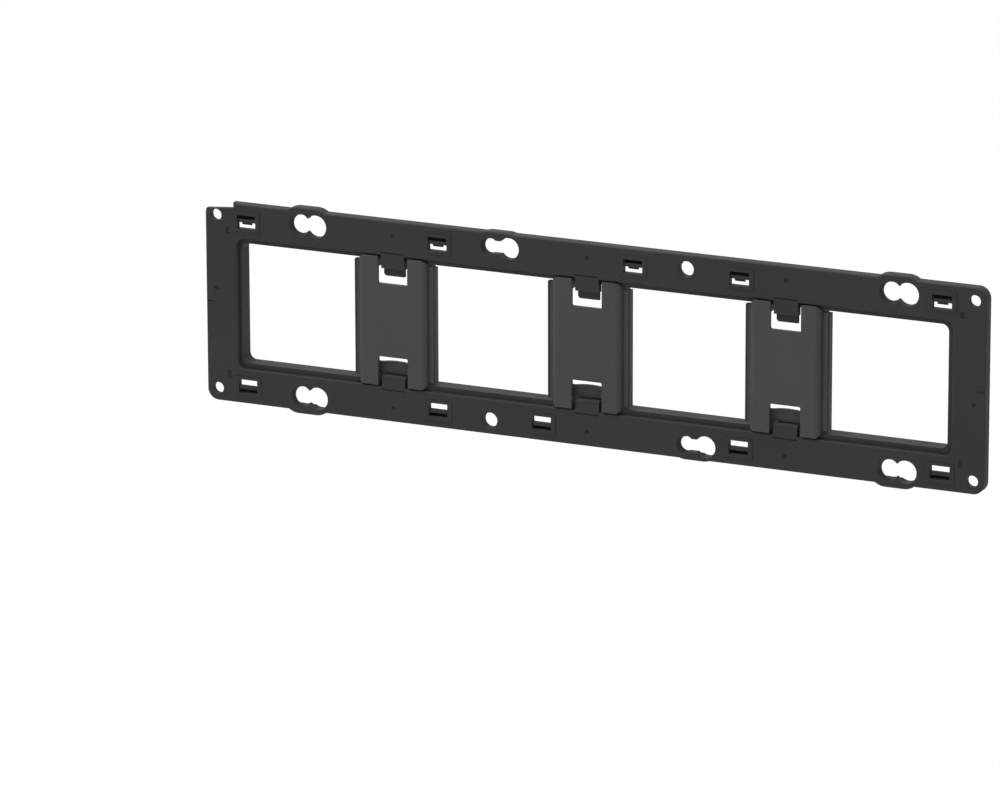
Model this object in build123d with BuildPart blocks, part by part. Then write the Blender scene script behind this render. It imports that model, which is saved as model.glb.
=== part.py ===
"""A long mounting plate for wall boxes: one moulded frame and three snap-in partitions.

The front of the frame lies in the XZ plane with its back toward +Y, Z is up, and the origin is the
plate's centre. All sizes are in millimetres.
"""

from build123d import *
import os

os.makedirs("parts", exist_ok=True)

# Pitch of the boxes and height of their screws
box_pitch = 71.0
screw_z = 30.0
half_pitch = box_pitch / 2
end_box = box_pitch * 1.5

# Outline of the frame
frame_length = 281.8
frame_height = 69.5
corner_radius = 4.0
rim_depth = 4.0
wall = 2.0
skirt = 1.6
front_round = 0.5
half_length = frame_length / 2
half_height = frame_height / 2

# Long opening, tied to the ends of the frame and to the partition bodies
body_height = 40.2
body_gap = 0.9
ledge_end = 1.7
ledge_left = 0.85
ledge_right = 1.9
stile_width = 11.7
step_depth = 1.9
step_back = 3.4
collar_depth = 7.7
collar_wall = 1.7
opening_radius = 2.5
opening_round = 0.7
opening_rear_z = body_height / 2 + body_gap
opening_front_z = opening_rear_z + ledge_end
opening_front_x = half_length - stile_width
opening_rear_length = opening_front_x * 2 - ledge_left - ledge_right
opening_rear_middle = (ledge_left - ledge_right) / 2

# Partition panel with its body and side flanges
panel_left = 12.85
panel_right = 12.3
panel_gap = 0.35
panel_height = (opening_front_z - panel_gap) * 2
panel_radius = 2.2
panel_proud = 0.4
panel_wall = 1.4
panel_seat = 1.6
side_round = 2.0
end_round = 0.2
body_wall = 1.4
flange_half = 15.0
flange_front = 1.9
flange_back = 3.8
groove_inset = 0.4
groove_width = 0.4
groove_depth = 0.3
body_width = panel_right * 2
panel_width = panel_left + panel_right
panel_middle = (panel_right - panel_left) / 2

# Notches of the partitions and the plate that closes the lower one
notch_width = 11.0
notch_round = 0.5
notch_top = body_height / 2 - 7.0
notch_bottom = body_height / 2 - 7.9
plate_front = 2.5
plate_back = 3.7
plate_slit = 2.15
plate_arch = 0.5
plate_gap = 0.15

# Tongues of the frame in the notches
pad_width = 8.5
pad_thick = 2.3
pad_lean = 0.35
pad_bevel = 0.6
pad_top = body_height / 2 - 1.7
pad_bottom = body_height / 2 - 1.35
tip_width = 7.6
tip_front = 1.3
tip_back = 2.5
tip_clearance = 2.5
tip_chamfer = 0.7
tip_reach = notch_top + tip_clearance
rest_gap = 0.25
rest_thick = 1.6
crease_width = 0.5
crease_depth = 0.35
crease_step = 0.8

# Screw slots with their lugs, round holes and corner holes
small_lobe = 6.5
large_lobe = 7.8
low_small_lobe = 5.0
low_large_lobe = 7.4
small_lobe_x = 1.0
large_lobe_x = 7.0
low_small_lobe_x = 0.0
low_large_lobe_x = 7.1
neck = 4.5
lug_radius = 5.95
low_lug_radius = 5.15
lug_left = -0.2
lug_right = 6.4
slot_sink = 1.6
slot_sink_ring = 0.7
boss_ring = 1.2
boss_depth = 2.6
round_hole = 5.2
hole_sink = 0.4
corner_hole = 4.0
side_relief = 6.0
side_relief_drop = 0.6
corner_hole_x = half_length - 4.1
corner_hole_z = half_height - 4.4

# Clip pockets in the row of the screws
clip_side = 19.0
clip_middle = 16.5
clip_end = 3.7
clip_width = 6.9
clip_inner = screw_z - 3.6
clip_outer = screw_z + 1.1
bar_inner = screw_z - 1.4
bar_outer = screw_z - 0.2
bar_front = 0.3
bar_back = 1.5
tooth_width = 3.6
tooth_shift = -0.2
tooth_base = bar_inner + 0.3
tooth_edge = bar_inner - 0.95
tooth_depth = 1.3
pocket_floor = 3.2
pocket_shelf_top = bar_inner + 0.1
pocket_shelf_bottom = bar_outer - 0.2
pocket_wall = 1.2
clip_pad_width = 10.0
clip_pad_proud = 0.2
clip_pad_inner = clip_inner - 1.0
clip_pad_outer = clip_outer + 1.3

# Small dimples and the two end ticks
dimple_ball = 0.8
dimple_depth = 0.6
dimple_half = 0.6
corner_dimple_x = half_length - 8.4
corner_dimple_z = half_height - 9.7
rail_dimple_z = half_height - 4.9
stile_dimple_x = half_length - 3.9
stile_dimple_z = 4.7
tick_length = 2.4
tick_width = 0.6
tick_depth = 0.3

# Cut-away top left corner
chip_length = 10.8
chip_skirt_length = 9.6
chip_low = half_height - 2.45
chip_high = half_height - 1.55
chip_skirt_drop = 1.2

# Places along the plate
partition_x = [-box_pitch, 0.0, box_pitch]
slots_high = [(-end_box, screw_z), (end_box, screw_z), (-end_box, -screw_z), (end_box, -screw_z)]
slots_low = [(-half_pitch, screw_z), (half_pitch, -screw_z)]
round_places = [(half_pitch, screw_z), (-half_pitch, -screw_z)]
corner_places = [(sx * corner_hole_x, sz * corner_hole_z) for sx in (1, -1) for sz in (1, -1)]
clip_far = opening_front_x - clip_end
clip_near = half_pitch + clip_side
clip_x_top = [-clip_far, -clip_near, clip_middle, clip_near, clip_far]
clip_x_bottom = [-clip_far, -clip_near, -clip_middle, clip_near, clip_far]
clip_places = [(x, 1) for x in clip_x_top] + [(x, -1) for x in clip_x_bottom]
rail_dimples = [(x, side * rail_dimple_z) for x in partition_x for side in (1, -1)]
corner_dimples = [(sx * corner_dimple_x, sz * corner_dimple_z) for sx in (1, -1) for sz in (1, -1)]
stile_dimples = [(-stile_dimple_x, stile_dimple_z), (stile_dimple_x, -stile_dimple_z)]
tongue_reaches = [(x, 1, pad_top) for x in partition_x] + [(x, -1, pad_bottom) for x in partition_x]
lug_middle = (lug_left + lug_right) / 2
lug_span = lug_right - lug_left
through = 20.0


def at_depth(depth):
    """Plane that faces forward at this depth behind the frame's front."""
    return Plane.XZ.offset(-depth)


# Frame moulding
with BuildPart() as frame:
    # Front wall with the lugs around the screw slots
    with BuildSketch(at_depth(wall)):
        RectangleRounded(frame_length, frame_height, corner_radius)
        for x, z in slots_high:
            with Locations((x + lug_middle, z)):
                SlotCenterToCenter(lug_span, lug_radius * 2)
        for x, z in slots_low:
            with Locations((x + lug_middle, z)):
                SlotCenterToCenter(lug_span, low_lug_radius * 2)
    extrude(amount=wall)
    front_face = frame.faces().sort_by(Axis.Y)[0]
    fillet(front_face.outer_wire().edges(), front_round)

    # Skirt behind the edge
    with BuildSketch(at_depth(rim_depth)):
        RectangleRounded(frame_length, frame_height, corner_radius)
        for x, z in slots_high:
            with Locations((x + lug_middle, z)):
                SlotCenterToCenter(lug_span, lug_radius * 2)
        for x, z in slots_low:
            with Locations((x + lug_middle, z)):
                SlotCenterToCenter(lug_span, low_lug_radius * 2)
        RectangleRounded(
            frame_length - skirt * 2,
            frame_height - skirt * 2,
            corner_radius - skirt,
            mode=Mode.SUBTRACT,
        )
    extrude(amount=rim_depth - wall)

    # Step around the long opening and the collar behind it
    with BuildSketch(at_depth(step_back)):
        RectangleRounded(
            (opening_front_x + collar_wall) * 2,
            (opening_front_z + collar_wall) * 2,
            opening_radius + collar_wall,
        )
    extrude(amount=step_back - wall)
    with BuildSketch(at_depth(collar_depth)):
        with Locations((opening_rear_middle, 0)):
            RectangleRounded(
                opening_rear_length + collar_wall * 2,
                (opening_rear_z + collar_wall) * 2,
                opening_radius + collar_wall,
            )
    extrude(amount=collar_depth - wall)

    # Bosses behind the screw slots and round holes
    with BuildSketch(at_depth(boss_depth)):
        for x, z in slots_high:
            with Locations((x + (small_lobe_x + large_lobe_x) / 2, z)):
                SlotCenterToCenter(large_lobe_x - small_lobe_x, large_lobe + boss_ring * 2)
        for x, z in slots_low:
            with Locations((x + (low_small_lobe_x + low_large_lobe_x) / 2, z)):
                SlotCenterToCenter(low_large_lobe_x - low_small_lobe_x, low_large_lobe + boss_ring * 2)
        with Locations(*round_places):
            Circle(round_hole / 2 + boss_ring)
    extrude(amount=boss_depth - wall)

    # Boxes behind the clip pockets
    with BuildSketch(at_depth(rim_depth)):
        for x in clip_x_top:
            with Locations((x, (clip_outer + pocket_wall + pocket_shelf_top) / 2)):
                Rectangle(clip_width + pocket_wall * 2, clip_outer + pocket_wall - pocket_shelf_top)
        for x in clip_x_bottom:
            with Locations((x, -(clip_outer + pocket_wall + pocket_shelf_bottom) / 2)):
                Rectangle(clip_width + pocket_wall * 2, clip_outer + pocket_wall - pocket_shelf_bottom)
    extrude(amount=rim_depth - wall)

    # Long opening, wide in front of the step and narrow behind it
    with BuildSketch(at_depth(step_depth)):
        RectangleRounded(opening_front_x * 2, opening_front_z * 2, opening_radius)
    extrude(amount=step_depth, mode=Mode.SUBTRACT)
    front_face = frame.faces().sort_by(Axis.Y)[0]
    fillet(front_face.inner_wires()[0].edges(), opening_round)
    with BuildSketch(at_depth(through)):
        with Locations((opening_rear_middle, 0)):
            RectangleRounded(opening_rear_length, opening_rear_z * 2, opening_radius)
    extrude(amount=through, mode=Mode.SUBTRACT)

    # Tongues, a short pad each
    with BuildSketch(at_depth(pad_thick)):
        for x, side, reach in tongue_reaches:
            with Locations((x, side * (reach + opening_front_z + crease_step) / 2)):
                Rectangle(pad_width, opening_front_z + crease_step - reach)
    extrude(amount=pad_thick)

    # Lower pads lean back a little and have a bevel along the upper edge
    for x in partition_x:
        with BuildSketch(Plane.YZ.offset(x - pad_width / 2)):
            with BuildLine():
                Polyline(
                    (0, -opening_front_z),
                    (pad_lean, -pad_bottom - pad_bevel),
                    (pad_lean + pad_bevel, -pad_bottom),
                    (0, -pad_bottom),
                    close=True,
                )
            make_face()
        extrude(amount=pad_width, mode=Mode.SUBTRACT)

    # Thin tips of the upper tongues, set back behind their pads
    with BuildSketch(at_depth(tip_back)):
        for x in partition_x:
            with Locations((x, 0)):
                Polygon(
                    (-tip_width / 2 + tip_chamfer, tip_reach),
                    (tip_width / 2, tip_reach),
                    (tip_width / 2, opening_front_z),
                    (-tip_width / 2, opening_front_z),
                    (-tip_width / 2, tip_reach + tip_chamfer),
                    align=None,
                )
    extrude(amount=tip_back - tip_front)

    # Rests of the lower tongues behind the partition plates
    with BuildSketch(at_depth(plate_back + rest_gap + rest_thick)):
        for x in partition_x:
            with Locations((x, -(pad_bottom + opening_front_z) / 2)):
                Rectangle(pad_width, opening_front_z - pad_bottom)
    extrude(amount=rest_thick)

    # Creases where the tongues leave the rails
    with BuildSketch(at_depth(crease_depth)):
        for x in partition_x:
            for side in (1, -1):
                with Locations((x, side * (opening_front_z + crease_step + crease_width / 2))):
                    Rectangle(pad_width, crease_width)
    extrude(amount=crease_depth, mode=Mode.SUBTRACT)

    # Low pads around the clip pockets
    with BuildSketch(at_depth(0)):
        for x, side in clip_places:
            with Locations((x, side * (clip_pad_inner + clip_pad_outer) / 2)):
                Rectangle(clip_pad_width, clip_pad_outer - clip_pad_inner)
    extrude(amount=clip_pad_proud)

    # Clip pockets, open at the back toward the window and closed at the outer side
    with BuildSketch(at_depth(pocket_floor)):
        for x, side in clip_places:
            with Locations((x, side * (clip_inner + clip_outer) / 2)):
                Rectangle(clip_width, clip_outer - clip_inner)
    extrude(amount=pocket_floor + clip_pad_proud, mode=Mode.SUBTRACT)

    # Catch bars across the pockets
    with BuildSketch(at_depth(bar_back)):
        for x, side in clip_places:
            with Locations((x, side * (bar_inner + bar_outer) / 2)):
                Rectangle(clip_width, bar_outer - bar_inner)
    extrude(amount=bar_back - bar_front)

    # Sloped teeth under the bars of the upper pockets
    for x in clip_x_top:
        with BuildSketch(Plane.YZ.offset(x + tooth_shift - tooth_width / 2)):
            with BuildLine():
                Polyline(
                    (bar_front, tooth_base),
                    (tooth_depth, tooth_edge),
                    (bar_back, tooth_edge),
                    (bar_back, tooth_base),
                    close=True,
                )
            make_face()
        extrude(amount=tooth_width)

    # Screw slots and round holes
    with BuildSketch(at_depth(through)):
        for x, z in slots_high:
            with Locations((x + small_lobe_x, z)):
                Circle(small_lobe / 2)
            with Locations((x + large_lobe_x, z)):
                Circle(large_lobe / 2)
            with Locations((x + (small_lobe_x + large_lobe_x) / 2, z)):
                Rectangle(large_lobe_x - small_lobe_x, neck)
        for x, z in slots_low:
            with Locations((x + low_small_lobe_x, z)):
                Circle(low_small_lobe / 2)
            with Locations((x + low_large_lobe_x, z)):
                Circle(low_large_lobe / 2)
            with Locations((x + (low_small_lobe_x + low_large_lobe_x) / 2, z)):
                Rectangle(low_large_lobe_x - low_small_lobe_x, neck)
        with Locations(*round_places):
            Circle(round_hole / 2)
        with Locations(*corner_places):
            Circle(corner_hole / 2)
    extrude(amount=through, mode=Mode.SUBTRACT)

    # Openings in the skirt beside the two left corner holes
    with BuildSketch(at_depth(rim_depth)):
        for side in (1, -1):
            with Locations((-corner_hole_x, side * corner_hole_z - side_relief_drop)):
                Rectangle(half_length, side_relief, align=(Align.MAX, Align.CENTER))
    extrude(amount=rim_depth - wall, mode=Mode.SUBTRACT)

    # Countersinks
    sinks = [(x + small_lobe_x, z, small_lobe / 2, slot_sink, slot_sink_ring) for x, z in slots_high]
    sinks += [(x + low_small_lobe_x, z, low_small_lobe / 2, slot_sink, slot_sink_ring) for x, z in slots_low]
    sinks += [(x, z, round_hole / 2, hole_sink, hole_sink) for x, z in round_places]
    for x, z, radius, depth, ring in sinks:
        with Locations(Plane.XZ * Pos(x, z, -depth)):
            Cone(
                radius,
                radius + ring,
                depth,
                align=(Align.CENTER, Align.CENTER, Align.MIN),
                mode=Mode.SUBTRACT,
            )

    # Dimples, single in the rails and stiles and drawn out upright in the corners
    with Locations(*[(x, dimple_depth - dimple_ball, z) for x, z in rail_dimples + stile_dimples]):
        Sphere(dimple_ball, mode=Mode.SUBTRACT)
    with Locations(*[(x, dimple_depth - dimple_ball, z + dimple_half) for x, z in corner_dimples]):
        Sphere(dimple_ball, mode=Mode.SUBTRACT)
    with Locations(*[(x, dimple_depth - dimple_ball, z - dimple_half) for x, z in corner_dimples]):
        Sphere(dimple_ball, mode=Mode.SUBTRACT)

    # End ticks
    with BuildSketch(at_depth(tick_depth)):
        for side in (1, -1):
            with Locations((side * (half_length - front_round - tick_length / 2), 0)):
                Rectangle(tick_length, tick_width)
    extrude(amount=tick_depth, mode=Mode.SUBTRACT)

    # Cut-away corner, lower in the skirt than in the front wall
    with BuildSketch(at_depth(wall)):
        with BuildLine():
            Polyline(
                (-half_length, chip_low),
                (-half_length + chip_length, chip_high),
                (-half_length + chip_length, frame_height),
                (-frame_length, frame_height),
                (-frame_length, chip_low),
                close=True,
            )
        make_face()
    extrude(amount=wall, mode=Mode.SUBTRACT)
    with BuildSketch(at_depth(rim_depth)):
        with BuildLine():
            Polyline(
                (-half_length, chip_low - chip_skirt_drop),
                (-half_length + chip_skirt_length, chip_high - chip_skirt_drop),
                (-half_length + chip_skirt_length, frame_height),
                (-frame_length, frame_height),
                (-frame_length, chip_low - chip_skirt_drop),
                close=True,
            )
        make_face()
    extrude(amount=rim_depth - wall, mode=Mode.SUBTRACT)


# Snap-in partition, built at the middle of the plate
with BuildPart() as partition:
    # Panel, with large roundings along its sides and small ones at its ends
    with BuildSketch(at_depth(panel_seat)):
        with Locations((panel_middle, 0)):
            RectangleRounded(panel_width, panel_height, panel_radius)
    extrude(amount=panel_seat + panel_proud)
    side_depth = panel_seat + panel_proud + side_round * 2
    with BuildSketch(Plane.XY.offset(-panel_height / 2)):
        with Locations((panel_middle, side_depth / 2 - panel_proud)):
            RectangleRounded(panel_width, side_depth, side_round)
    extrude(amount=panel_height, mode=Mode.INTERSECT)
    end_depth = panel_seat + panel_proud + end_round * 2
    with BuildSketch(Plane.YZ.offset(-panel_left)):
        with Locations((end_depth / 2 - panel_proud, 0)):
            RectangleRounded(end_depth, panel_height, end_round)
    extrude(amount=panel_width, mode=Mode.INTERSECT)

    # Body behind the panel
    with BuildSketch(at_depth(collar_depth)):
        Rectangle(body_width, body_height)
    extrude(amount=collar_depth - panel_seat)

    # Flanges along both sides
    with BuildSketch(at_depth(flange_back)):
        Rectangle(flange_half * 2, body_height)
    extrude(amount=flange_back - flange_front)

    # Fine grooves in the flanges
    with BuildSketch(at_depth(flange_front + groove_depth)):
        for side in (1, -1):
            with Locations((side * (flange_half - groove_inset - groove_width / 2), 0)):
                Rectangle(groove_width, body_height)
    extrude(amount=groove_depth, mode=Mode.SUBTRACT)

    # Hollow of the body, which leaves the panel a thin front wall
    with BuildSketch(at_depth(through)):
        Rectangle(body_width - body_wall * 2, body_height - body_wall * 2)
    extrude(amount=through - panel_wall + panel_proud, mode=Mode.SUBTRACT)

    # Notches for the tongues, open at both ends
    with BuildSketch(at_depth(through)):
        with Locations((0, notch_top)):
            RectangleRounded(notch_width, panel_height, notch_round, align=(Align.CENTER, Align.MIN))
        with Locations((0, -notch_bottom)):
            RectangleRounded(notch_width, panel_height, notch_round, align=(Align.CENTER, Align.MAX))
    extrude(amount=through * 2, mode=Mode.SUBTRACT)

    # Plate behind the lower notch, low enough in front of the rest to slide past the tongue
    plate_half = (body_width - body_wall) / 2
    plate_top = -notch_bottom - plate_slit
    plate_low = -(pad_bottom - plate_gap)
    with BuildSketch(at_depth(plate_back)):
        with BuildLine():
            ThreePointArc(
                (-notch_width / 2, plate_top - plate_arch),
                (0, plate_top),
                (notch_width / 2, plate_top - plate_arch),
            )
            Polyline(
                (notch_width / 2, plate_top - plate_arch),
                (plate_half, plate_top - plate_arch),
                (plate_half, -(body_height - body_wall) / 2),
                (notch_width / 2, -(body_height - body_wall) / 2),
                (notch_width / 2, plate_low),
                (-notch_width / 2, plate_low),
                (-notch_width / 2, -(body_height - body_wall) / 2),
                (-plate_half, -(body_height - body_wall) / 2),
                (-plate_half, plate_top - plate_arch),
                (-notch_width / 2, plate_top - plate_arch),
            )
        make_face()
    extrude(amount=plate_back - plate_front)

partition_left = Pos(-box_pitch, 0, 0) * partition.part
partition_centre = Pos(0, 0, 0) * partition.part
partition_right = Pos(box_pitch, 0, 0) * partition.part

frame.part.label = "frame"
partition_left.label = "partition_left"
partition_centre.label = "partition_centre"
partition_right.label = "partition_right"

export_step(frame.part, "parts/frame.step")
export_step(partition_left, "parts/partition_left.step")
export_step(partition_centre, "parts/partition_centre.step")
export_step(partition_right, "parts/partition_right.step")
print("frame", frame.part.is_valid, len(frame.part.solids()), frame.part.bounding_box())
print("partition", partition.part.is_valid, len(partition.part.solids()), partition.part.bounding_box())
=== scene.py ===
# %% [markdown]
# This file dresses a long wall plate: a dark plastic frame with four square windows and three
# snap-in partitions between them. The shapes come ready made from the CAD frame, so the work here
# is the moulded plastic, the studio and the camera. Everything is in metres, with the front of
# the plate toward -Y and Z up.

# %% Load the frame
import math

import bpy
from mathutils import Matrix, Vector

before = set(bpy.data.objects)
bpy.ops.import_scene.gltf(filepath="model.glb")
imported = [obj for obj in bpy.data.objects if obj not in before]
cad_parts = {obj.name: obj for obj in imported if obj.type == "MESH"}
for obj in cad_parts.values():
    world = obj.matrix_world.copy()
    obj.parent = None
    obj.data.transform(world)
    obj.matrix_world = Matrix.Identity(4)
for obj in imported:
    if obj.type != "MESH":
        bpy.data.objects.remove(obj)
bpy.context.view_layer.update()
print("nodes", sorted(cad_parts))

# %% [markdown]
# The picture was taken with a long lens from the front, a little to the right and above. A long
# lens keeps the far end of the plate nearly as large as the near end. The camera could be set by
# eye, but the spacing of the screw slots is known, so its direction, distance and lens were
# worked out from where they fall in the picture. The small lens shift puts the plate right of
# and above the middle, as the picture frames it.

# %% Camera
AZIMUTH = math.radians(23.78)
ELEVATION = math.radians(15.62)
ROLL = math.radians(0.055)
DISTANCE = 2.3306
LENS = 253.66
SENSOR_WIDTH = 36.0
SHIFT_X = -0.098
SHIFT_Y = -0.05255
FARTHEST_SEEN = 50.0
AIM = Vector((0.00403, 0.0, -0.0002))

toward_camera = Vector(
    (
        math.sin(AZIMUTH) * math.cos(ELEVATION),
        -math.cos(AZIMUTH) * math.cos(ELEVATION),
        math.sin(ELEVATION),
    )
)
camera_data = bpy.data.cameras.new("camera")
camera = bpy.data.objects.new("camera", camera_data)
bpy.context.scene.collection.objects.link(camera)
look = (-toward_camera).to_track_quat("-Z", "Y").to_matrix().to_4x4()
camera.matrix_world = (
    Matrix.Translation(AIM + toward_camera * DISTANCE) @ look @ Matrix.Rotation(ROLL, 4, "Z")
)
camera_data.lens = LENS
camera_data.sensor_width = SENSOR_WIDTH
camera_data.shift_x = SHIFT_X
camera_data.shift_y = SHIFT_Y
camera_data.clip_end = FARTHEST_SEEN
bpy.context.scene.camera = camera
print("camera at", [round(v, 3) for v in camera.matrix_world.translation])

# %% [markdown]
# A finish is easier to read as arithmetic than as a row of node calls. The class below wraps one
# socket, so that `a * 2 + b` adds the Math nodes for it. Anything that isn't plain arithmetic
# goes through the one method of Recipe that adds a node, sets it up and fills its sockets. The
# same class builds the materials and the world.


# %% Shader arithmetic
class Value:
    def __init__(self, recipe, socket):
        self.recipe = recipe
        self.socket = socket

    def _math(self, operation, first, second):
        return self.recipe.add("ShaderNodeMath", {"operation": operation}, {0: first, 1: second})

    def __add__(self, other):
        return self._math("ADD", self, other)

    def __radd__(self, other):
        return self._math("ADD", other, self)

    def __sub__(self, other):
        return self._math("SUBTRACT", self, other)

    def __rsub__(self, other):
        return self._math("SUBTRACT", other, self)

    def __mul__(self, other):
        return self._math("MULTIPLY", self, other)

    def __rmul__(self, other):
        return self._math("MULTIPLY", other, self)


class Recipe:
    """The nodes of one material or world, emptied and built anew."""

    def __init__(self, owner):
        self.owner = owner
        self.owner.use_nodes = True
        self.tree = self.owner.node_tree
        self.tree.nodes.clear()

    def add(self, kind, settings=None, inputs=None, output=0):
        node = self.tree.nodes.new(kind)
        for key, value in (settings or {}).items():
            if key == "stops":
                ramp = node.color_ramp
                while len(ramp.elements) < len(value):
                    ramp.elements.new(0.5)
                for element, (place, colour) in zip(ramp.elements, value):
                    element.position = place
                    element.color = colour
            else:
                setattr(node, key, value)
        for key, value in (inputs or {}).items():
            if isinstance(value, Value):
                self.tree.links.new(value.socket, node.inputs[key])
            else:
                node.inputs[key].default_value = value
        return Value(self, node.outputs[output]) if len(node.outputs) else None


def grey(level):
    return (level, level, level, 1.0)


print("ready to build", Recipe.__name__, "from", Value.__name__)

# %% [markdown]
# The plate is injection moulded in a dark plastic with a fine matte grain. Real moulded plastic
# isn't one even colour: the grain breaks the light up, the flow of the plastic leaves broad soft
# clouds, and handling leaves faint marks where it's a little smoother. Three noises at three
# sizes and a layer of fine pits give all that. The clouds and the grain go into the colour, the
# grain and the pits into the bump, and the marks into the roughness. The scales are roughly
# cells per metre, so a larger number gives a finer pattern.

# %% Sizes of the pattern
CLOUD_SCALE = 22.0
HANDLING_SCALE = 70.0
GRAIN_SCALE = 1400.0
PIT_SCALE = 2600.0
GRAIN_HEIGHT = 0.00012
HANDLING_SPREAD = 0.22
PLASTIC_IOR = 1.49
SHEEN_LEVEL = 0.20
print("grain", GRAIN_SCALE, "pits", PIT_SCALE)


# %% Moulded plastic
def moulded_plastic(name, dark, light, roughness, grain, seed):
    finish = Recipe(bpy.data.materials.new(name))
    place = finish.add("ShaderNodeTexCoord", output="Object")
    clouds = finish.add(
        "ShaderNodeTexNoise",
        {"noise_dimensions": "4D"},
        {"Vector": place, "W": seed, "Scale": CLOUD_SCALE, "Detail": 3.0, "Roughness": 0.55},
    )
    speckle = finish.add(
        "ShaderNodeTexNoise",
        {"noise_dimensions": "4D"},
        {"Vector": place, "W": seed + 3.0, "Scale": GRAIN_SCALE, "Detail": 2.0, "Roughness": 0.6},
    )
    handling = finish.add(
        "ShaderNodeTexNoise",
        {"noise_dimensions": "4D"},
        {"Vector": place, "W": seed + 7.0, "Scale": HANDLING_SCALE, "Detail": 5.0, "Roughness": 0.65},
    )
    tone = clouds * 0.75 + speckle * 0.25
    colour = finish.add(
        "ShaderNodeValToRGB",
        {"stops": [(0.32, dark), (0.68, light)]},
        {"Fac": tone},
    )
    rough = handling * HANDLING_SPREAD + (roughness - HANDLING_SPREAD / 2)
    pits = finish.add(
        "ShaderNodeTexVoronoi",
        {"feature": "SMOOTH_F1"},
        {"Vector": place, "Scale": PIT_SCALE, "Smoothness": 0.6},
    )
    height = pits * 0.6 + speckle * 0.4
    relief = finish.add(
        "ShaderNodeBump",
        {},
        {"Strength": grain, "Distance": GRAIN_HEIGHT, "Height": height},
    )
    shader = finish.add(
        "ShaderNodeBsdfPrincipled",
        {},
        {
            "Base Color": colour,
            "Roughness": rough,
            "IOR": PLASTIC_IOR,
            "Specular IOR Level": SHEEN_LEVEL,
            "Normal": relief,
        },
    )
    finish.add("ShaderNodeOutputMaterial", {}, {"Surface": shader})
    return finish.owner


# %% [markdown]
# The frame is a nearly neutral dark grey with a touch of green. The partitions are a lighter and
# slightly warmer grey of the same kind, and a little smoother.

# %% The two plastics
frame_plastic = moulded_plastic(
    "frame_plastic",
    dark=(0.0360, 0.0400, 0.0376, 1.0),
    light=(0.0446, 0.0478, 0.0448, 1.0),
    roughness=0.55,
    grain=0.35,
    seed=0.0,
)
partition_plastic = moulded_plastic(
    "partition_plastic",
    dark=(0.0664, 0.0664, 0.0620, 1.0),
    light=(0.0800, 0.0794, 0.0760, 1.0),
    roughness=0.50,
    grain=0.30,
    seed=11.0,
)
print("finishes", frame_plastic.name, partition_plastic.name)


# %% Put the finishes on the CAD pieces
def dress(node, material):
    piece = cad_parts[node]
    piece.data.materials.clear()
    piece.data.materials.append(material)
    print(node, "wears", material.name)


dress("frame", frame_plastic)
for side in ("left", "centre", "right"):
    dress("partition_" + side, partition_plastic)

# %% [markdown]
# The picture shows the plate alone on white. A pale floor lies well below it, and a camera ray
# that meets the floor or the world sees white, while the light that reaches the plate stays at
# its own plain level. Making the lamps brighter until the floor clips would wash the plate out.
# A little of the floor's own surface is left in what the camera sees, so that it can still take
# a shadow.

# %% Floor
FLOOR_Z = -0.16
FLOOR_HALF = 6.0
FLOOR_GREY = 0.75
FLOOR_GLOW = 1.03
GLOW_SHARE = 0.95

floor_finish = Recipe(bpy.data.materials.new("pale_floor"))
surface = floor_finish.add("ShaderNodeBsdfDiffuse", {}, {"Color": grey(FLOOR_GREY)})
glow = floor_finish.add("ShaderNodeEmission", {}, {"Color": grey(1.0), "Strength": FLOOR_GLOW})
seen = floor_finish.add("ShaderNodeLightPath", output="Is Camera Ray")
mixed = floor_finish.add("ShaderNodeMixShader", {}, {0: seen * GLOW_SHARE, 1: surface, 2: glow})
floor_finish.add("ShaderNodeOutputMaterial", {}, {"Surface": mixed})

sides = ((-1, -1), (1, -1), (1, 1), (-1, 1))
corners = [(x * FLOOR_HALF, y * FLOOR_HALF, FLOOR_Z) for x, y in sides]
floor_mesh = bpy.data.meshes.new("floor")
floor_mesh.from_pydata(corners, [], [(0, 1, 2, 3)])
floor = bpy.data.objects.new("floor", floor_mesh)
bpy.context.scene.collection.objects.link(floor)
floor_mesh.materials.append(floor_finish.owner)
print("floor at", FLOOR_Z)

# %% Backdrop
ROOM_LEVEL = 0.52

studio = Recipe(bpy.data.worlds.new("studio"))
seen = studio.add("ShaderNodeLightPath", output="Is Camera Ray")
room = studio.add("ShaderNodeBackground", {}, {"Color": grey(1.0), "Strength": ROOM_LEVEL})
white = studio.add("ShaderNodeBackground", {}, {"Color": grey(1.0), "Strength": 1.0})
mixed = studio.add("ShaderNodeMixShader", {}, {0: seen, 1: room, 2: white})
studio.add("ShaderNodeOutputWorld", {}, {"Surface": mixed})
bpy.context.scene.world = studio.owner
print("room level", ROOM_LEVEL)

# %% [markdown]
# In the picture the edges that look up are the brightest, the front is darker and the walls that
# look right are darker still. Most of the light on the front comes from the even room. The main
# soft lamp hangs above and to the left and lights the upper edges most. A very weak one stands
# low on the right, and another weak one, wide and soft, stands behind the plate.

# %% Lights
PLATE_MIDDLE = Vector((0.0, 0.0, 0.0))


def soft_light(name, place, width, height, power):
    data = bpy.data.lights.new(name, "AREA")
    data.shape = "RECTANGLE"
    data.size = width
    data.size_y = height
    data.energy = power
    lamp = bpy.data.objects.new(name, data)
    bpy.context.scene.collection.objects.link(lamp)
    lamp.location = place
    lamp.rotation_euler = (PLATE_MIDDLE - Vector(place)).to_track_quat("-Z", "Y").to_euler()
    print("light", name, power, "W")


soft_light("key_above", place=(-0.5, -0.35, 1.3), width=1.2, height=0.9, power=13.0)
soft_light("fill_right", place=(1.5, -0.9, -0.1), width=1.0, height=1.0, power=0.8)
soft_light("back_wall", place=(-0.7, 1.9, 0.55), width=2.2, height=1.0, power=3.5)

bpy.context.scene.view_settings.view_transform = "Standard"
